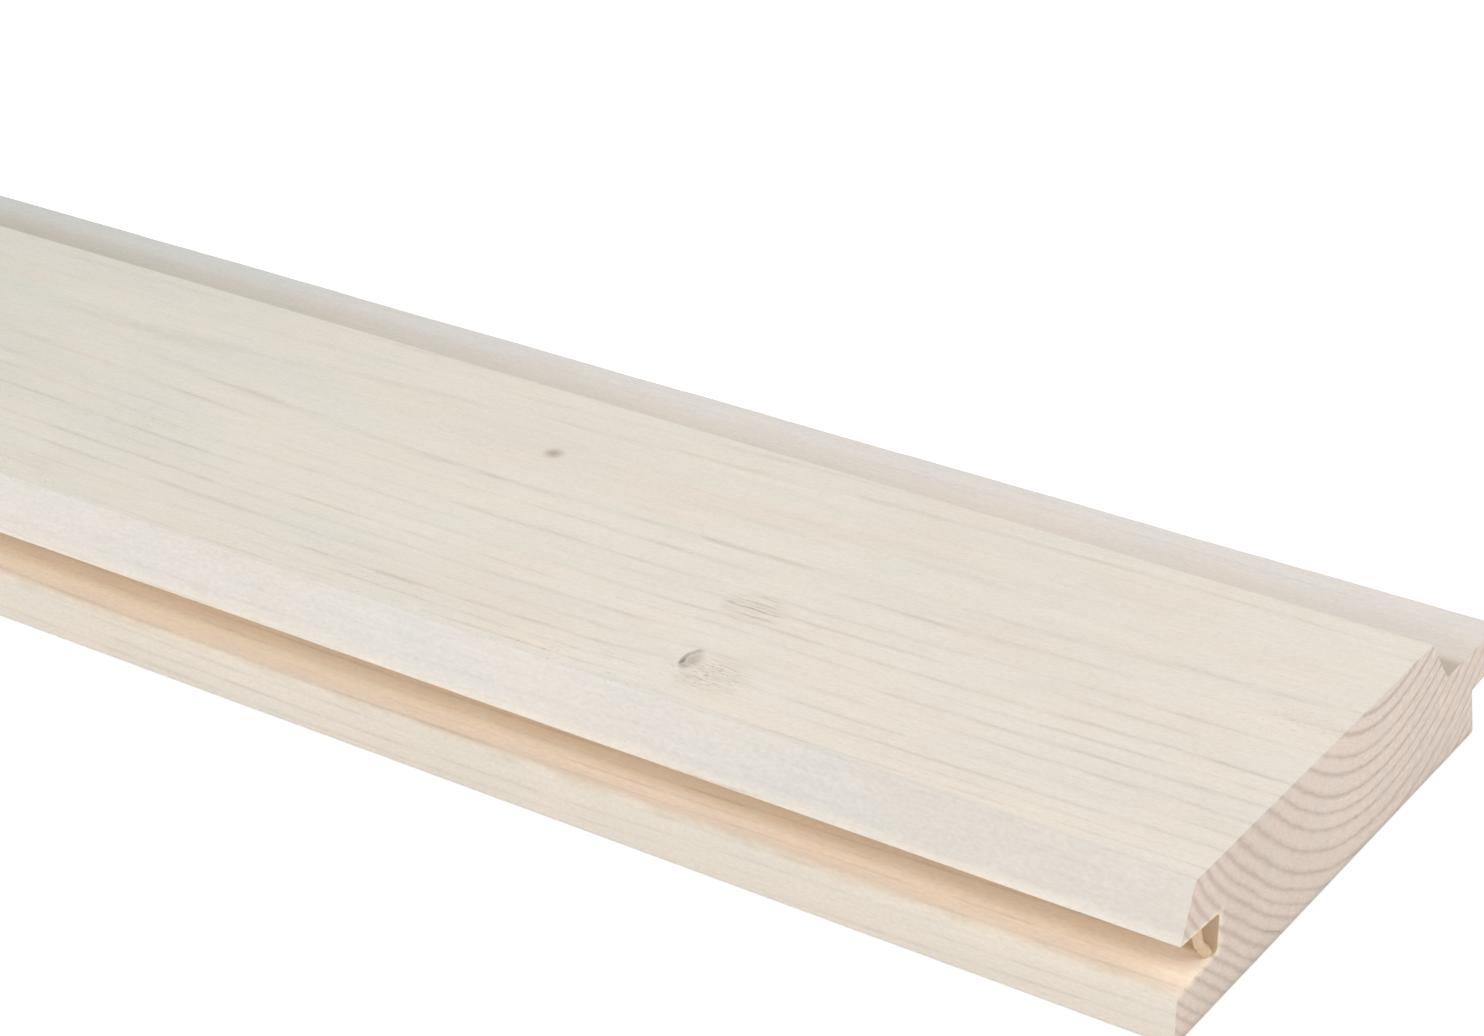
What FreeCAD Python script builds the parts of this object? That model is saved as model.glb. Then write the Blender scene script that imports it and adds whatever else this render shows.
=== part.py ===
"""Tongue and groove board of planed spruce, with a bevelled face.

One sawn and planed length of softwood. Its section is the same from end to end: a groove in one
edge, a tongue on the other, and a bevel on each face edge, so that laid boards show a wide V joint.

Frame, in millimetres: X along the board, Y across it from the groove (-Y) to the tongue (+Y), and
Z up from the back face, on which the board lies. The origin is the middle of the back face.
"""

import FreeCAD, Part
import math
import os

# Stock
LENGTH = 1800.0
THICKNESS = 28.0
COVER_WIDTH = 112.0          # one board to the next when laid: groove edge to back shoulder

# Tongue, and the groove that takes the next board's tongue
TONGUE_LENGTH = 9.0          # past the back shoulder
TONGUE_THICKNESS = 8.4       # at the back shoulder
JOINT_HEIGHT = 13.75         # middle of tongue and groove above the back face
FLANK_TAPER = 4.0            # degrees, on each flank of tongue and groove
FLANK_CLEARANCE = 0.2        # tongue to groove, on each flank
END_CLEARANCE = 4.0          # hollow of the groove left past the tongue's nose
SHOULDER_UNDERCUT = 2.4      # back shoulder leans in up to the tongue, so only its foot meets the next board

# Face edges
FACE_SETBACK = 14.5          # face shoulder behind the back shoulder: the floor of the V joint
TONGUE_BEVEL = 8.0           # run of the bevel across the face, beside the tongue
GROOVE_BEVEL = 4.0           # run of the bevel across the face, above the groove

# Round edges left by the cutters
ARRIS_RADIUS = 0.5
GROOVE_LIP_RADIUS = 1.5
GROOVE_ROOT_RADIUS = 1.5
TONGUE_NOSE_RADIUS = 1.0

# Worked out from the sizes above
FLANK_SLOPE = math.tan(math.radians(FLANK_TAPER))
GROOVE_DEPTH = TONGUE_LENGTH + END_CLEARANCE
TONGUE_HALF = TONGUE_THICKNESS / 2
GROOVE_HALF = TONGUE_HALF + FLANK_CLEARANCE
OVERALL_WIDTH = COVER_WIDTH + TONGUE_LENGTH
GROOVE_EDGE = -OVERALL_WIDTH / 2
BACK_SHOULDER = GROOVE_EDGE + COVER_WIDTH
FACE_SHOULDER = BACK_SHOULDER - FACE_SETBACK
TONGUE_TIP = BACK_SHOULDER + TONGUE_LENGTH
GROOVE_ROOT = GROOVE_EDGE + GROOVE_DEPTH


def section_corners():
    """Corners of the section as (y, z, radius), anticlockwise seen from +X, from the groove edge's foot."""
    tongue_nose_half = TONGUE_HALF - TONGUE_LENGTH * FLANK_SLOPE
    tongue_back_half = TONGUE_HALF + SHOULDER_UNDERCUT * FLANK_SLOPE
    groove_root_half = GROOVE_HALF - GROOVE_DEPTH * FLANK_SLOPE
    tongue_top = JOINT_HEIGHT + TONGUE_HALF
    back = [
        (GROOVE_EDGE, 0.0, ARRIS_RADIUS),
        (BACK_SHOULDER, 0.0, ARRIS_RADIUS),
    ]
    tongue = [
        (BACK_SHOULDER - SHOULDER_UNDERCUT, JOINT_HEIGHT - tongue_back_half, 0.0),
        (TONGUE_TIP, JOINT_HEIGHT - tongue_nose_half, TONGUE_NOSE_RADIUS),
        (TONGUE_TIP, JOINT_HEIGHT + tongue_nose_half, TONGUE_NOSE_RADIUS),
        (BACK_SHOULDER, tongue_top, 0.0),
        (FACE_SHOULDER, tongue_top, 0.0),
    ]
    face = [
        (FACE_SHOULDER - TONGUE_BEVEL, THICKNESS, ARRIS_RADIUS),
        (GROOVE_EDGE + GROOVE_BEVEL, THICKNESS, ARRIS_RADIUS),
    ]
    groove = [
        (GROOVE_EDGE, JOINT_HEIGHT + GROOVE_HALF, ARRIS_RADIUS),
        (GROOVE_ROOT, JOINT_HEIGHT + groove_root_half, GROOVE_ROOT_RADIUS),
        (GROOVE_ROOT, JOINT_HEIGHT - groove_root_half, GROOVE_ROOT_RADIUS),
        (GROOVE_EDGE, JOINT_HEIGHT - GROOVE_HALF, GROOVE_LIP_RADIUS),
    ]
    return back + tongue + face + groove


def rounded_corner(before, corner, after, radius):
    """Start, middle and end of the arc that rounds a corner, tangent to both its sides."""
    to_before = (before - corner).normalize()
    to_after = (after - corner).normalize()
    half_angle = to_before.getAngle(to_after) / 2
    run = radius / math.tan(half_angle)
    middle = (to_before + to_after).normalize() * (radius / math.sin(half_angle) - radius)
    return corner + to_before * run, corner + middle, corner + to_after * run


def section_wire(x):
    """The closed outline of the section in the plane across the board at x."""
    corners = section_corners()
    points = [FreeCAD.Vector(x, y, z) for y, z, _ in corners]
    edges = []
    stretches = []
    for i, (_, _, radius) in enumerate(corners):
        point = points[i]
        if radius == 0.0:
            stretches.append((point, point))
            continue
        start, middle, end = rounded_corner(points[i - 1], point, points[(i + 1) % len(points)], radius)
        stretches.append((start, end))
        edges.append(Part.Arc(start, middle, end).toShape())
    for (_, leave), (arrive, _) in zip(stretches, stretches[1:] + stretches[:1]):
        edges.append(Part.LineSegment(leave, arrive).toShape())
    return Part.Wire(Part.__sortEdges__(edges))


def board():
    """The whole board: its section carried from one sawn end to the other."""
    end_face = Part.Face(section_wire(-LENGTH / 2))
    return end_face.extrude(FreeCAD.Vector(LENGTH, 0, 0))


os.makedirs("parts", exist_ok=True)
solid = board()
solid.exportStep("parts/board.step")
print(f"board: valid {solid.isValid()}, volume {solid.Volume / 1e6:.3f} dm3, box {solid.BoundBox}")
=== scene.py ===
import bpy
import numpy as np
from mathutils import Matrix, Vector


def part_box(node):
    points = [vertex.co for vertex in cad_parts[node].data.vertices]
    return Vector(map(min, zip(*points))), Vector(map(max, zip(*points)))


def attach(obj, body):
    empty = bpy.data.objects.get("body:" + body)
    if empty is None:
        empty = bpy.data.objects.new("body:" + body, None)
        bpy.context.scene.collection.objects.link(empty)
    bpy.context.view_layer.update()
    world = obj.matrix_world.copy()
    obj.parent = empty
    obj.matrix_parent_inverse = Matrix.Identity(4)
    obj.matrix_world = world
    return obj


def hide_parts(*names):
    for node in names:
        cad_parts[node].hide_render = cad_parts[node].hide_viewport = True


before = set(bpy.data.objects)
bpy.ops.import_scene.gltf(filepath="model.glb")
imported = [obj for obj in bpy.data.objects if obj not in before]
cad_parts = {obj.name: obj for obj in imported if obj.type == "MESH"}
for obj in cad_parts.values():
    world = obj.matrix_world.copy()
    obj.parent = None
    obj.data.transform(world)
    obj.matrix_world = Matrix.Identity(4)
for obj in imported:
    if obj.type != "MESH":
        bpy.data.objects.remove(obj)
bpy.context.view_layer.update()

# The board
# One length of planed spruce. A moulder ran the groove, the tongue and the bevels out of the same
# wood, and a saw cut both ends square, so it is one outline carried from end to end.
MM = 0.001
board_low, board_high = (np.array(corner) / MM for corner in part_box("board"))
half_length = float(board_high[0])
groove_edge = float(board_low[1])
tongue_tip = float(board_high[1])
thickness = float(board_high[2])

tongue_length = 9.0
tongue_half = 4.2
groove_half = 4.4
groove_depth = 13.0
joint_height = 13.75
flank_slope = np.tan(np.radians(4.0))
shoulder_undercut = 2.4
face_setback = 14.5
tongue_bevel = 8.0
groove_bevel = 4.0
arris_radius = 0.5
crisp_radius = 0.2
nose_radius = 1.0
root_radius = 0.9
lip_radius = 1.5

back_shoulder = tongue_tip - tongue_length
face_shoulder = back_shoulder - face_setback
face_edge = face_shoulder - tongue_bevel
strip_height = joint_height + tongue_half
tongue_back = joint_height - tongue_half - shoulder_undercut * flank_slope
nose_half = tongue_half - tongue_length * flank_slope
root_half = groove_half - groove_depth * flank_slope
groove_root = groove_edge + groove_depth
lip_top = joint_height - groove_half
lip_tip = joint_height + groove_half

section_corners = np.array([
    # across, up, radius of the corner, how much the radius wanders along the board
    (groove_edge, 0.0, arris_radius, 0.25),
    (back_shoulder, 0.0, arris_radius, 0.25),
    (back_shoulder - shoulder_undercut, tongue_back, crisp_radius, 0.0),
    (tongue_tip, joint_height - nose_half, nose_radius, 0.2),
    (tongue_tip, joint_height + nose_half, nose_radius, 0.3),
    (back_shoulder, strip_height, crisp_radius, 0.0),
    (face_shoulder, strip_height, crisp_radius, 0.0),
    (face_edge, thickness, arris_radius, 0.2),
    (groove_edge + groove_bevel, thickness, arris_radius, 0.2),
    (groove_edge, lip_tip, crisp_radius, 0.25),
    (groove_root, joint_height + root_half, root_radius, 0.0),
    (groove_root, joint_height - root_half, root_radius, 0.0),
    (groove_edge, lip_top, lip_radius, 0.5),
])


def unit(vectors):
    """Each vector divided by its own length."""
    return vectors / np.linalg.norm(vectors, axis=-1, keepdims=True)


def wander(places, columns, grain, seed):
    """Smooth noise from -1 to 1 along a line, in that many columns.

    Random heights stand a grain apart, and a cosine joins each to the next.
    """
    rows = int(np.ptp(places) / grain) + 3
    draws = np.random.default_rng(seed).uniform(-1, 1, (rows, columns))
    step = (places - places.min()) / grain
    before = np.floor(step).astype(int)
    share = (1 - np.cos(np.pi * (step - before)))[:, None] / 2
    return draws[before] * (1 - share) + draws[before + 1] * share


def rounded_outlines(points, radii, arc_points):
    """One closed outline with rounded corners for each row of radii.

    Each corner becomes an arc that touches both its sides. Its centre is on the corner's bisector, the
    radius over the sine of half the angle away, and its points turn evenly from one side's normal to the
    other's.
    """
    to_last = unit(np.roll(points, 1, axis=0) - points)
    to_next = unit(np.roll(points, -1, axis=0) - points)
    half_sine = np.linalg.norm(to_next - to_last, axis=1, keepdims=True) / 2
    inward = unit(to_last + to_next) / half_sine
    run = np.sqrt(1 - half_sine ** 2) / half_sine
    first = unit(to_last * run - inward)[:, None]
    last = unit(to_next * run - inward)[:, None]
    turn = np.arccos(np.sum(first * last, axis=-1, keepdims=True))
    share = np.linspace(0, 1, arc_points)[None, :, None]
    spoke = (np.sin((1 - share) * turn) * first + np.sin(share * turn) * last) / np.sin(turn)
    reach = inward[:, None] + spoke
    return (points[:, None] + radii[:, :, None, None] * reach).reshape(len(radii), -1, 2)


def divided(outlines, longest):
    """The same closed outlines with each side cut into equal parts, as many as that side of the first
    outline needs for none to be longer than the longest."""
    side = np.roll(outlines, -1, axis=1) - outlines
    parts = np.ceil(np.linalg.norm(side[0], axis=1) / longest).astype(int).clip(1)
    owner = np.repeat(np.arange(outlines.shape[1]), parts)
    step = np.arange(parts.sum()) - np.repeat(np.cumsum(parts) - parts, parts)
    return outlines[:, owner] + side[:, owner] * (step / parts[owner])[:, None]


def eased(outlines, depths):
    """Outlines moved inwards, each by its own depth, square to the line through a point's two neighbours."""
    tangent = unit(np.roll(outlines, -1, axis=1) - np.roll(outlines, 1, axis=1))
    inward = np.stack([-tangent[..., 1], tangent[..., 0]], axis=-1)
    return outlines + inward * depths[:, None, None]


# Rows of points along the board: a quarter round at each sawn edge, and closer rows near the end that is
# seen from close by
end_ease = 0.18
ease_turn = np.linspace(0, np.pi / 2, 4)
ease_depth = end_ease * (1 - np.sin(ease_turn))
ease_along = half_length - end_ease + end_ease * np.cos(ease_turn)
worked_length = half_length - end_ease
near_length = 400.0
far_rows, near_rows = 270, 330
stations = np.concatenate([
    -ease_along,
    np.linspace(-worked_length, worked_length - near_length, far_rows)[1:-1],
    np.linspace(worked_length - near_length, worked_length, near_rows)[:-1],
    ease_along[::-1],
])
ease_depths = np.concatenate([ease_depth, np.zeros(len(stations) - 2 * len(ease_depth)), ease_depth[::-1]])

corners = len(section_corners)
long_wear = wander(stations, corners, grain=26.0, seed=3)
short_wear = wander(stations, corners, grain=5.0, seed=5)
wear = 0.6 * long_wear + 0.4 * short_wear
corner_radii = section_corners[:, 2] * (1 + section_corners[:, 3] * wear)
outlines = divided(rounded_outlines(section_corners[:, :2], corner_radii, arc_points=6), longest=7.0)
outlines = eased(outlines, ease_depths)
along = np.repeat(stations[:, None], outlines.shape[1], axis=1)
skin = np.concatenate([along[..., None], outlines], axis=-1)


def swept_mesh(name, rows):
    """A closed mesh from rows of points: neighbouring rows are joined by four-sided faces, each row closes
    on itself, and the first and last rows are filled."""
    count, width = rows.shape[:2]
    index = np.arange(count * width).reshape(count, width)
    beside = np.roll(index, -1, axis=1)
    walls = np.stack([index[:-1], beside[:-1], beside[1:], index[1:]], axis=-1).reshape(-1, 4)
    ends = [index[0][::-1].tolist(), index[-1].tolist()]
    mesh = bpy.data.meshes.new(name)
    mesh.from_pydata((rows.reshape(-1, 3) * MM).tolist(), [], walls.tolist() + ends)
    mesh.validate()
    mesh.polygons.foreach_set("use_smooth", np.ones(len(mesh.polygons), bool))
    mesh.set_sharp_from_angle(angle=np.radians(35))
    piece = bpy.data.objects.new(name, mesh)
    bpy.context.scene.collection.objects.link(piece)
    return piece


board = swept_mesh("planed_board", skin)


# The wood of the board. Slow-grown spruce, sawn below the pith, so the rings cross the cut end as flat
# arcs and run down the face as fine lines. The pattern is solid: each point takes its colour from where
# it lay in the trunk.
class Field:
    """A value that shader nodes work out at each point. Arithmetic on fields adds the nodes that do it."""

    def __init__(self, tree, socket):
        self.tree = tree
        self.socket = socket

    def node(self, kind, inputs, **settings):
        """A new node of that kind, with its inputs linked to fields or set to plain values."""
        made = self.tree.nodes.new("ShaderNode" + kind)
        for name, value in settings.items():
            setattr(made, name, value)
        for name, value in inputs.items():
            if isinstance(value, Field):
                self.tree.links.new(value.socket, made.inputs[name])
            else:
                made.inputs[name].default_value = value
        return made

    def maths(self, operation, *others):
        """This field and the others put through a Math node."""
        made = self.node("Math", dict(enumerate((self, *others))), operation=operation)
        return Field(self.tree, made.outputs[0])

    def __add__(self, other):
        return self.maths("ADD", other)

    def __sub__(self, other):
        return self.maths("SUBTRACT", other)

    def __mul__(self, other):
        return self.maths("MULTIPLY", other)

    def __truediv__(self, other):
        return self.maths("DIVIDE", other)

    def __abs__(self):
        return self.maths("ABSOLUTE")

    def either(self, other):
        """The larger of this field and another."""
        return self.maths("MAXIMUM", other)

    def hypot(self, other):
        """Length of the long side over a right angle: root of the sum of both squares."""
        return (self * self + other * other).maths("SQRT")

    def wave(self, length):
        """Cosine of this field, which goes from 1 to -1 and back over each such length."""
        return (self * (2 * np.pi / length)).maths("COSINE")

    def ramp(self, start, end, low=0.0, high=1.0):
        """low up to start, high from end on, and an even curve between."""
        made = self.node("MapRange", {"Value": self, "From Min": start, "From Max": end, "To Min": low,
                                      "To Max": high}, interpolation_type="SMOOTHSTEP")
        return Field(self.tree, made.outputs[0])

    def fade(self, start, end, high=1.0):
        """high up to start, 0 from end on, and an even curve between."""
        return self.ramp(start, end, high, 0.0)

    def blend(self, first, second):
        """Colour or field first where this field is 0, and second where it is 1."""
        made = self.node("Mix", {0: self, 6: first, 7: second}, data_type="RGBA")
        return Field(self.tree, made.outputs[2])

    def bump(self, depth):
        """Surface normal of a relief that is this field times a depth in metres."""
        made = self.node("Bump", {"Height": self, "Distance": depth, "Strength": 1.0})
        return Field(self.tree, made.outputs[0])


def noise(along, across, up, grain, seed, detail=1.0):
    """Smooth noise from about -1 to 1, with its grain in millimetres along and across the fibres. The seed
    moves it along the fibres by that many grains."""
    place = along.node("CombineXYZ", {0: along / grain[0] + seed, 1: across / grain[1], 2: up / grain[1]})
    place = Field(along.tree, place.outputs[0])
    made = along.node("TexNoise", {"Vector": place, "Scale": 1.0, "Detail": detail})
    return Field(along.tree, made.outputs["Fac"]) * 3.0 - 1.5


spruce = bpy.data.materials.new("spruce")
spruce.use_nodes = True
tree = spruce.node_tree
wood = tree.nodes["Principled BSDF"]
position = tree.nodes.new("ShaderNodeTexCoord")
split = tree.nodes.new("ShaderNodeSeparateXYZ")
tree.links.new(position.outputs["Object"], split.inputs[0])
x, y, z = (Field(tree, socket) * (1 / MM) for socket in split.outputs)
from_end = x - half_length
inset = y - groove_edge
facing = tree.nodes.new("ShaderNodeSeparateXYZ")
tree.links.new(position.outputs["Normal"], facing.inputs[0])
cut_end = abs(Field(tree, facing.outputs[0])).ramp(0.5, 0.9)

# The pith ran above the face. It swayed and dipped a little, and the rings near it followed it more than
# those further out. Shallow flutes ran down the trunk, and it flared beside the groove, more towards the
# bark.
pith_inset = 71.5
pith_up = 63.5
sway = (from_end - 12.8).wave(500.0) * 4.6 - 3.9
dip = (from_end + 100.0).wave(480.0) * -1.75 + from_end.ramp(-340.0, -200.0, 1.8, 0.85)
follow = (inset - pith_inset).hypot(z - pith_up).ramp(34.0, 54.0, 1.0, 0.6)
from_pith = inset - pith_inset - follow * sway
under_pith = dip + pith_up - z
bearing = from_pith.maths("ARCTAN2", under_pith)
radius = from_pith.hypot(under_pith)
flute = (bearing + np.radians(32.0)).wave(np.radians(72.0)) * -0.45 + 0.45
flare = bearing.fade(*np.radians((-62.0, -42.0)), 1.1)
flare = flare + bearing.ramp(*np.radians((8.0, 26.0)), 0.0, 0.25)
radius = radius - (flute + flare) * radius.ramp(55.0, 78.0, 1.0, 1.9)
radius = radius + noise(x, y, z, grain=(90.0, 14.0), seed=40.3) * 0.22
radius = radius + noise(x, y, z, grain=(18.0, 2.5), seed=71.7) * 0.14

# Small knots, each a branch that grew outwards from the pith and was grown over just below the face. The
# rings bulge round it, bark is trapped on one side of some, and the planer tore the grain beside those.
# They lie far apart, so each point of the board looks at one knot only, the nearest along the board.
knots = np.array([
    # from the cut end, from the groove edge, half width, share of bark
    (100.2, 17.4, 2.0, 1.0),
    (165.4, 66.6, 2.5, 0.0),
    (538.0, 41.0, 2.2, 0.3),
    (764.0, 77.0, 1.6, 0.0),
    (921.0, 28.0, 3.4, 0.8),
    (1188.0, 60.0, 2.0, 0.0),
    (1420.0, 15.0, 2.6, 0.9),
    (1633.0, 82.0, 2.4, 0.4),
])
knot_units = np.array((2 * half_length, 100.0, 10.0, 1.0))
nearest = x.node("ValToRGB", {"Fac": (from_end * -1.0) / (2 * half_length)})
shelf = nearest.color_ramp
shelf.interpolation = "CONSTANT"
while len(shelf.elements) < len(knots):
    shelf.elements.new(1.0)
halfway = np.concatenate([[0.0], (knots[1:, 0] + knots[:-1, 0]) / 2]) / knot_units[0]
for stop, start, knot in zip(shelf.elements, halfway, knots / knot_units):
    stop.position = start
    stop.color = knot
knot_place = x.node("SeparateXYZ", {0: Field(tree, nearest.outputs["Color"])})
knot_along, knot_inset, half_width = (
    Field(tree, socket) * float(size) for socket, size in zip(knot_place.outputs, knot_units)
)
bark = Field(tree, nearest.outputs["Alpha"])
aside = from_end + knot_along
across = inset - knot_inset
below = z - thickness
grown_over = below.ramp(-9.0, -3.0)

# Distance from the branch's middle line: length of the cross product of its direction and the way to the
# point, in half widths of the knot
branch_lean = 8.0
branch = x.node("CombineXYZ", {0: branch_lean, 1: knot_inset - pith_inset, 2: thickness - pith_up})
branch = x.node("VectorMath", {0: Field(tree, branch.outputs[0])}, operation="NORMALIZE")
offset = Field(tree, x.node("CombineXYZ", {0: aside, 1: across, 2: below}).outputs[0])
square = x.node("VectorMath", {0: offset, 1: Field(tree, branch.outputs[0])}, operation="CROSS_PRODUCT")
beside = x.node("VectorMath", {0: Field(tree, square.outputs[0])}, operation="LENGTH")
from_branch = Field(tree, beside.outputs["Value"]) / half_width
radius = radius + from_branch.fade(0.0, 10.0, 1.1) * bark * grown_over

knot_core = from_branch.fade(0.0, 1.1) * grown_over
knot_bark = abs(from_branch - 0.8).fade(0.05, 0.34) * (aside / half_width).fade(-0.8, 0.5)
knot_bark = knot_bark * bark * grown_over
torn_behind = (aside - 5.5).hypot(across + 2.5).fade(2.0, 9.0) * bark * grown_over
torn_beside = ((aside + 1.3) * 0.8).hypot(across - 20.2).fade(3.0, 6.0) * bark * grown_over
knot_torn = torn_behind.either(torn_beside * 0.5)

# Widths of the years from the innermost ring out. Each year ends in a dark line, which is fainter and
# finer along the fibres than across them, and stronger in some years than in others.
first_ring = 30.85
year_widths = np.array((
    2.75, 3.4, 2.85, 3.85, 2.8, 3.65, 2.7, 2.85, 3.55, 3.55, 2.85, 2.3, 2.2,
    2.6, 2.5, 2.3, 2.1, 2.2, 2.0, 2.4, 2.3, 1.8, 2.2, 2.0, 2.1, 1.9,
))
years = len(year_widths)
grown = float(year_widths.sum())
calendar = radius.node("FloatCurve", {"Value": (radius - first_ring) / grown})
ring_line = calendar.mapping.curves[0]
for year, ring in enumerate(np.cumsum(year_widths)[:-1] / grown, start=1):
    ring_line.points.new(ring, year / years)
for ring_point in ring_line.points:
    ring_point.handle_type = "VECTOR"
calendar.mapping.update()
age = Field(tree, calendar.outputs[0]) * float(years) + 0.5
from_ring = abs(age.maths("FRACT") - 0.5)
year_kind = radius.node("TexWhiteNoise", {"W": age.maths("FLOOR")}, noise_dimensions="1D")
year_strength = Field(tree, year_kind.outputs["Value"]) * 0.38 + 0.62

# Fibres, and the grain that the planer or the saw tore: patchy and broken lie along the fibres, fray
# along the rings of the cut end. Saw marks, and slow changes of tone.
patchy = noise(x, y, z, grain=(60.0, 2.5), seed=12.9)
broken = noise(x, y, z, grain=(10.0, 1.5), seed=5.6)
fibre = noise(x, y, z, grain=(14.0, 0.6), seed=0.0, detail=2.0)
fleck = noise(x, y, z, grain=(1.1, 0.5), seed=33.1)
streak = noise(x, y, z, grain=(4.0, 0.5), seed=21.9, detail=2.0)
torn = noise(x, y, z, grain=(45.0, 16.0), seed=57.5).ramp(-0.1, 0.7)
cloud = noise(x, y, z, grain=(60.0, 16.0), seed=91.3)
blush = noise(x, y, z, grain=(26.0, 8.0), seed=18.6)
saw = noise(y, x, z, grain=(14.0, 0.3), seed=0.0)
fray = noise(bearing * 60.0, radius, x, grain=(2.4, 0.4), seed=8.4)
frayed = inset.ramp(45.0, 85.0, 0.25, 1.0)

# The rings as lines on the cut end and on the planed sides
soft_rings = inset.ramp(15.0, 50.0, 1.45, 1.0)
from_late = (from_ring + fray * frayed * 0.03) / soft_rings
end_line = from_late.fade(0.0, 0.12, 0.5) + from_late.fade(0.02, 0.28, 0.68)
end_line = end_line * year_strength * soft_rings * patchy.ramp(-0.8, 0.8, 0.7, 1.1)
end_line = end_line * radius.ramp(40.0, 54.0, 1.45, 1.0)
steep = abs(inset - pith_inset) / radius
face_line = from_ring.fade(0.0, 0.19) * year_strength * patchy.ramp(-0.5, 0.55, 0.15, 1.0)
face_line = face_line * from_end.ramp(-290.0, -200.0, 0.8, 1.0)
face_line = face_line * steep.ramp(0.0, 0.6, 0.4, 1.0) * broken.ramp(-0.6, 0.4, 0.4, 1.1)

# A fine check, where the end dried and split across the rings near the back face
check_inset, check_up = 29.3, 4.7
check_length = 8.2
check_turn = np.radians(-29.3)
check_along = (inset - check_inset) * np.cos(check_turn) + (z - check_up) * np.sin(check_turn)
check_aside = (z - check_up) * np.cos(check_turn) - (inset - check_inset) * np.sin(check_turn)
check = abs(check_aside).fade(0.04, 0.2)
check = check * check_along.ramp(0.0, 1.5) * check_along.fade(check_length - 1.0, check_length)

# Where on the section a point is
on_top = z.ramp(thickness - 1.5, thickness)
feathered = inset + patchy * 0.7 + streak * 0.6
in_groove = abs(z - joint_height).fade(4.3, 5.3) * feathered.ramp(-0.5, 1.5)
in_groove = in_groove * inset.fade(groove_depth + 0.2, groove_depth + 0.6)
on_bevel = z.ramp(lip_tip + 0.45, lip_tip + 2.45) * inset.fade(3.6, 6.0)
on_lip = z.fade(8.0, 9.2) * inset.fade(0.2, 0.9)
lip_edge_shade = abs(z - lip_top + 0.4).fade(0.3, 1.2) * inset.fade(0.4, 2.0)
lip_tip_highlight = abs(z - lip_tip).fade(0.3, 1.0) * inset.fade(0.2, 0.9)
on_strip = y.ramp(face_shoulder - 0.4, face_shoulder + 0.4) * z.fade(strip_height + 0.1, strip_height + 0.8)
# Masks for the strip's painted shade: lighter outwards from the face, darkest in the corner by the face
strip_out_of_shade = y.ramp(face_shoulder + 9.0, tongue_tip - 3.0)
strip_corner_shade = y.fade(face_shoulder + 4.2, face_shoulder + 7.0)
at_mouth = (abs(z - joint_height) + inset * flank_slope).fade(4.5, 5.9)
at_mouth = at_mouth * inset.fade(groove_depth + 0.3, groove_depth + 2.6)

# The groove is warmer than the face and fades over the lip in streaks. Its flank is painted lighter deep in
# the groove and far from the cut end, painted light that lifts the groove's shade, and darker at the mouth,
# painted shade; its root is painted dark near the cut end, the shadow of the sliver and the lip. The bevel
# and the lip face are painted darker than the face, painted shade that holds down the light the front lamps
# throw on them, and the bevel is a little bluer. The strip over the tongue is a little grey, with painted
# shade towards the face and in its corner, where the face's edge shades it. Face and strip are painted
# darker and greyer in a slow wave away from the cut end, painted shade of the light falling off along the
# board.
# Painted shade: face and strip darker and greyer in a slow wave away from the cut end, where the light falls
# off along the board
falloff_shade = (from_end + 20.0).wave(700.0) * -0.5 + 0.5
falloff_shade = falloff_shade * falloff_shade * on_top.either(on_strip)
far_groove = from_end.ramp(-190.0, -110.0)
root_tone_and_shadow = far_groove.blend((0.76, 0.62, 0.45, 1), (0.68, 0.54, 0.375, 1))
# Painted shadow: the root goes dark brown near the cut end, where the sliver and the lip shade it
root_tone_and_shadow = from_end.ramp(-25.0, -6.0).blend(root_tone_and_shadow, (0.60, 0.44, 0.295, 1))
# Painted light and shade: the flank is lighter deep in the groove and far from the cut end, to lift its
# shade, and darker at the mouth
deep_painted_light = far_groove.either(inset.ramp(5.0, 8.5))
flank_painted_light_colour = deep_painted_light.blend((0.92, 0.81, 0.665, 1), (0.975, 0.845, 0.705, 1))
groove_colour = feathered.ramp(1.0, 4.6).blend((0.82, 0.705, 0.59, 1), flank_painted_light_colour)
groove_colour = inset.ramp(groove_depth - 2.4, groove_depth - 0.6).blend(groove_colour, root_tone_and_shadow)
# Painted shade: the bevel is darker than the face, to hold down the light the front lamps throw on it, and a
# little bluer
bevel_shade_colour = from_end.ramp(-130.0, -10.0).blend((0.74, 0.695, 0.643, 1), (0.70, 0.652, 0.592, 1))
# Painted shade: the lip face is a little darker than the face, as the front lamps light it more
lip_shade_colour = (0.765, 0.697, 0.606, 1)
lip_edge_shade_colour = (0.71, 0.61, 0.49, 1)
lip_tip_highlight_colour = (0.87, 0.79, 0.62, 1)
# Painted shade: the strip is darker towards the face, where the face's edge shades it
strip_colour = strip_out_of_shade.blend((0.735, 0.664, 0.593, 1), (0.79, 0.737, 0.69, 1))
strip_falloff_shade_colour = strip_out_of_shade.blend((0.445, 0.422, 0.348, 1), (0.54, 0.567, 0.545, 1))
strip_colour = (falloff_shade * 0.65).blend(strip_colour, strip_falloff_shade_colour)
# Painted shadow of the face's edge in the strip's corner
strip_colour = strip_corner_shade.blend(strip_colour, (0.53, 0.465, 0.37, 1))
planed_colour = (0.798, 0.735, 0.645, 1)
falloff_shade_colour = (0.71, 0.678, 0.603, 1)
line_colour = (0.55, 0.48, 0.41, 1)
torn_colour = (0.74, 0.66, 0.53, 1)
knot_colour = (0.42, 0.355, 0.28, 1)
bark_colour = (0.13, 0.11, 0.085, 1)

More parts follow.
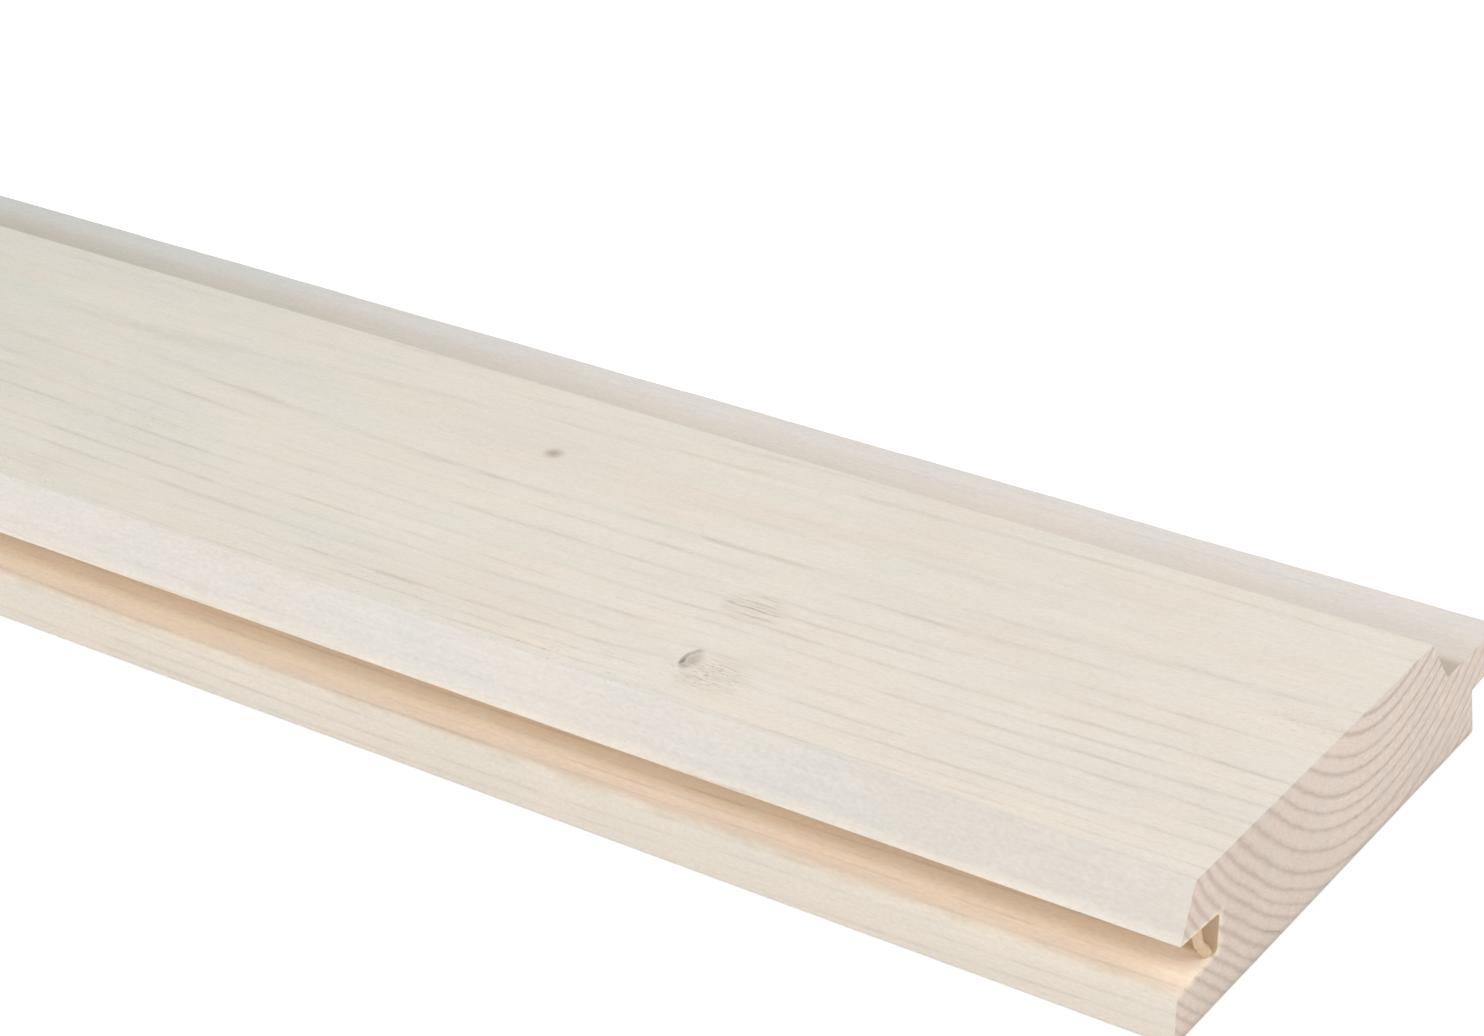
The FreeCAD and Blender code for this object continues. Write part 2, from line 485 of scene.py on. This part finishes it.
face_colour = in_groove.blend(planed_colour, groove_colour)
face_colour = on_bevel.blend(face_colour, bevel_shade_colour)
face_colour = on_lip.blend(face_colour, lip_shade_colour)
# Painted shade in streaks on the lower lip's rounded edge, in the groove's warm tone, dimming the highlight
# it catches
face_colour = (lip_edge_shade * broken.ramp(-0.5, 0.5, 0.35, 0.8)).blend(face_colour, lip_edge_shade_colour)
# Painted highlight: a cream line along the upper lip's tip, where its arris catches the light, fainter away
# from the cut end
lip_tip_highlight = lip_tip_highlight * patchy.ramp(-0.4, 0.5, 0.2, 0.8) * from_end.ramp(-60.0, -10.0, 0.45, 1.0)
face_colour = lip_tip_highlight.blend(face_colour, lip_tip_highlight_colour)
face_colour = (falloff_shade * on_top).blend(face_colour, falloff_shade_colour)
face_colour = on_strip.blend(face_colour, strip_colour)
clean = on_bevel.either(on_strip)
face_colour = (face_line * clean.ramp(0.0, 1.0, 0.5, 0.15)).blend(face_colour, line_colour)
face_colour = (knot_torn * 0.45).blend(face_colour, torn_colour)
knot_tone = bark.ramp(0.0, 1.0, 0.85, 0.7) * fleck.ramp(-0.7, 0.3, 0.7, 1.05)
face_colour = (knot_core * knot_tone).blend(face_colour, knot_colour)
knot_bark = knot_bark * fleck.ramp(-0.6, 0.4, 0.3, 1.0) * (across / half_width).ramp(-0.8, 0.6, 1.0, 0.55)
face_colour = knot_bark.blend(face_colour, bark_colour)

# The cut end is pinker, pale where the groove's edge was torn, and painted darker in streaks along its
# bottom edge, painted shade of the edge that faces the floor
end_colour = inset.ramp(20.0, 65.0).blend((0.73, 0.613, 0.528, 1), (0.768, 0.652, 0.573, 1))
mouth_colour = (0.885, 0.765, 0.59, 1)
late_colour = (0.60, 0.49, 0.415, 1)
bottom_edge_shade_colour = (0.45, 0.42, 0.385, 1)
check_colour = (0.34, 0.25, 0.19, 1)
end_colour = (at_mouth * 0.9).blend(end_colour, mouth_colour)
end_colour = (end_line * at_mouth.ramp(0.0, 1.0, 1.0, 0.5)).blend(end_colour, late_colour)
# Painted shade in streaks along the end's bottom edge, which faces the floor
bottom_edge_shade = z.fade(0.2, 1.7, 0.55) * streak.ramp(-0.7, 0.5, 0.45, 1.0)
end_colour = bottom_edge_shade.blend(end_colour, bottom_edge_shade_colour)
end_colour = (check * 0.5).blend(end_colour, check_colour)
colour = cut_end.blend(face_colour, end_colour)

# Light and dark of the fibres, of torn specks on the face, whose dark in the torn pits is partly painted
# shade, and of splinters on the cut end. Blush makes the tone warmer or cooler.
# The darker flecks follow the torn pits of the relief: torn grain, and painted shade in those hollows
speck_and_pit_shade = (fleck.ramp(0.3, 0.8) * -0.08 + streak * 0.07) * (torn * 0.4 + knot_torn * 2.6 + 0.35)
speck_and_pit_shade = speck_and_pit_shade - fleck.ramp(-0.1, 0.45, 0.0, 0.13) * knot_torn
tears = (across + streak * 0.5).wave(2.2).ramp(0.55, 1.0) * torn_beside
speck_and_pit_shade = speck_and_pit_shade - tears * broken.ramp(-0.5, 0.5, 0.25, 1.0) * 0.3 - streak.ramp(0.6, 1.1, 0.0, 0.14)
splinters = fray.ramp(0.2, 0.6, 0.0, 0.16) - fray.fade(-0.6, -0.2, 0.14)
end_grain = (saw * 0.02 + splinters * frayed) * cut_end
streaks = fibre * 0.022 - broken * 0.022 - patchy * 0.014
shade = streaks + cloud * 0.028 + fleck * 0.065 + speck_and_pit_shade * on_top + end_grain + 1.0
tone = x.node("CombineXYZ", {0: shade + blush * 0.022, 1: shade, 2: shade - blush * 0.022})
tone = Field(tree, tone.outputs[0])
toned = x.node("Mix", {0: 1.0, 6: colour, 7: tone}, data_type="RGBA", blend_type="MULTIPLY")

# Relief in millimetres: fibres and torn pits on the planed sides, saw marks and splinters on the ends
pit = fleck.ramp(0.35, 0.8) * (torn + 0.2) * on_top
relief = fibre * 0.008 - pit * 0.09
end_relief = saw * 0.02 + fray * frayed * 0.05
relief = relief + (end_relief - relief) * cut_end
rough = fibre * 0.03 + 0.62

tree.links.new(toned.outputs[2], wood.inputs["Base Color"])
tree.links.new(relief.bump(MM).socket, wood.inputs["Normal"])
tree.links.new(rough.socket, wood.inputs["Roughness"])
wood.inputs["Specular IOR Level"].default_value = 0.25

board.data.materials.append(spruce)
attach(board, "root")
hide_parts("board")

# The sliver in the groove
# A splinter of the board itself, torn at the mouth of the groove as the saw came through the end. It is
# thin and curved, grew out of the upper flank, and leans on the lower one.
sliver_path = np.array([
    # from the cut end, from the groove edge, above the back face
    (-0.55, 7.3, 17.6),
    (-0.55, 7.9, 13.4),
    (-0.55, 12.2, 10.1),
])
sliver_half_width = 1.9
sliver_half_thickness = 0.28
sliver_curl = 0.35
sliver_lean = (1.0, 0.25, 0.0)
sliver_steps, sliver_sides = 28, 24
sliver_share = np.linspace(0, 1, sliver_steps)[:, None]
sliver_turn = np.linspace(2 * np.pi, 0, sliver_sides, endpoint=False)


def bend(points, share):
    """Places and headings along the parabola that leaves the first point towards the second and ends at
    the third."""
    first, second, third = points
    place = (1 - share) ** 2 * first + 2 * share * (1 - share) * second + share ** 2 * third
    return place, unit((1 - share) * (second - first) + share * (third - second))


sliver_line, sliver_heading = bend(sliver_path, sliver_share)
sliver_face = unit(np.cross(sliver_heading, np.cross(sliver_lean, sliver_heading)))
sliver_side = np.cross(sliver_heading, sliver_face)
curled = sliver_curl * sliver_half_width * np.cos(sliver_turn) ** 2
ragged = 0.95 - 0.5 * sliver_share + 0.1 * np.sin(9 * sliver_share) + 0.06 * np.sin(23 * sliver_share)
sliver_rows = (
    sliver_line[:, None]
    + sliver_side[:, None] * (np.cos(sliver_turn) * sliver_half_width * ragged)[..., None]
    + sliver_face[:, None] * (np.sin(sliver_turn) * sliver_half_thickness * ragged - curled)[..., None]
)
sliver = swept_mesh("groove_sliver", sliver_rows + (half_length, groove_edge, 0.0))

torn_wood = bpy.data.materials.new("torn_wood")
torn_wood.use_nodes = True
tree = torn_wood.node_tree
wood = tree.nodes["Principled BSDF"]
position = tree.nodes.new("ShaderNodeTexCoord")
split = tree.nodes.new("ShaderNodeSeparateXYZ")
tree.links.new(position.outputs["Object"], split.inputs[0])
x, y, z = (Field(tree, socket) * (1 / MM) for socket in split.outputs)
strand = noise(z + y * 0.6, y, x, grain=(3.0, 0.35), seed=4.0, detail=2.0)
colour = strand.ramp(-0.9, 0.9).blend((0.62, 0.45, 0.28, 1), (0.78, 0.59, 0.39, 1))
rough = strand * 0.05 + 0.66
tree.links.new(colour.socket, wood.inputs["Base Color"])
tree.links.new(strand.bump(0.04 * MM).socket, wood.inputs["Normal"])
tree.links.new(rough.socket, wood.inputs["Roughness"])
wood.inputs["Specular IOR Level"].default_value = 0.25

sliver.data.materials.append(torn_wood)
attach(sliver, "root")

# The floor
# A seamless white studio floor, a hair below the board. To the camera it glows a little, so that it is
# white where it is lit and grey only in the board's own shadow.
floor_reach = 12.0
floor_drop = 0.2 * MM
floor_glow = 0.35
floor_corners = [(-floor_reach, -floor_reach, 0), (floor_reach, -floor_reach, 0),
                 (floor_reach, floor_reach, 0), (-floor_reach, floor_reach, 0)]
floor_mesh = bpy.data.meshes.new("floor")
floor_mesh.from_pydata(floor_corners, [], [(0, 1, 2, 3)])
floor = bpy.data.objects.new("floor", floor_mesh)
floor.location.z = -floor_drop
bpy.context.scene.collection.objects.link(floor)

paper = bpy.data.materials.new("floor_paper")
paper.use_nodes = True
tree = paper.node_tree
tree.nodes.clear()
paper_out = tree.nodes.new("ShaderNodeOutputMaterial")
paper_mix = tree.nodes.new("ShaderNodeAddShader")
paper_diffuse = tree.nodes.new("ShaderNodeBsdfDiffuse")
paper_diffuse.inputs["Color"].default_value = (0.92, 0.92, 0.92, 1)
paper_glow = tree.nodes.new("ShaderNodeEmission")


def shown(tree):
    """1 on what the camera sees, straight on, in a gloss or through glass, and 0 on what only lights other
    things."""
    seen = tree.nodes.new("ShaderNodeLightPath").outputs
    gloss = Field(tree, seen["Is Glossy Ray"]).either(Field(tree, seen["Is Transmission Ray"]))
    return gloss.either(Field(tree, seen["Is Camera Ray"]))


tree.links.new((shown(tree) * floor_glow).socket, paper_glow.inputs["Strength"])
tree.links.new(paper_diffuse.outputs[0], paper_mix.inputs[0])
tree.links.new(paper_glow.outputs[0], paper_mix.inputs[1])
tree.links.new(paper_mix.outputs[0], paper_out.inputs["Surface"])
floor_mesh.materials.append(paper)

# The light
# A white room all round the board, two long soft boxes in front of the groove edge, one above the other,
# and a small one that faces the cut end.
room_light = 0.695
world = bpy.data.worlds.new("white_room")
bpy.context.scene.world = world
world.use_nodes = True
tree = world.node_tree
background = tree.nodes["Background"]
tree.links.new(shown(tree).ramp(0.0, 1.0, room_light, 1.0).socket, background.inputs["Strength"])
background.inputs["Color"].default_value = (1, 1, 1, 1)


def soft_box(name, width, height, energy, place, aim):
    """A rectangular lamp at a place, turned to a point. Its width is level."""
    light = bpy.data.lights.new(name, "AREA")
    light.shape = "RECTANGLE"
    light.size = width
    light.size_y = height
    light.energy = energy
    lamp = bpy.data.objects.new(name, light)
    lamp.location = place
    lamp.rotation_euler = (Vector(aim) - Vector(place)).to_track_quat("-Z", "Y").to_euler()
    lamp.visible_camera = False
    bpy.context.scene.collection.objects.link(lamp)


soft_box("high_box", width=2.6, height=0.45, energy=8.5, place=(0.3, -1.3, 1.65), aim=(0.3, 0, 0))
soft_box("front_box", width=2.8, height=0.9, energy=8.9, place=(0.3, -1.9, 1.3), aim=(0.3, 0, 0))
soft_box("end_box", width=0.7, height=0.7, energy=2.4, place=(1.75, -0.1, 0.75), aim=(0.9, 0, 0))

# The camera
# It stands in front of the groove edge and looks down on the cut end, so that the board runs out of
# the picture on the left.
past_end, before_groove, camera_height = 0.1914, 0.4006, 0.3189
yaw, pitch, roll = np.radians((33.98, 27.43, 0.27))
forward = np.array((-np.sin(yaw) * np.cos(pitch), np.cos(yaw) * np.cos(pitch), -np.sin(pitch)))
level_right = np.array((np.cos(yaw), np.sin(yaw), 0))
right = level_right * np.cos(roll) + np.cross(forward, level_right) * np.sin(roll)
turned = Matrix(np.stack([right, np.cross(right, forward), -forward], axis=1).tolist())
view = bpy.data.cameras.new("camera")
view.lens = 85.8
view.sensor_width = 36.0
camera = bpy.data.objects.new("camera", view)
camera.location = (half_length * MM + past_end, groove_edge * MM - before_groove, camera_height)
camera.rotation_euler = turned.to_euler()
bpy.context.scene.collection.objects.link(camera)
bpy.context.scene.camera = camera

bpy.context.scene.view_settings.view_transform = "Standard"
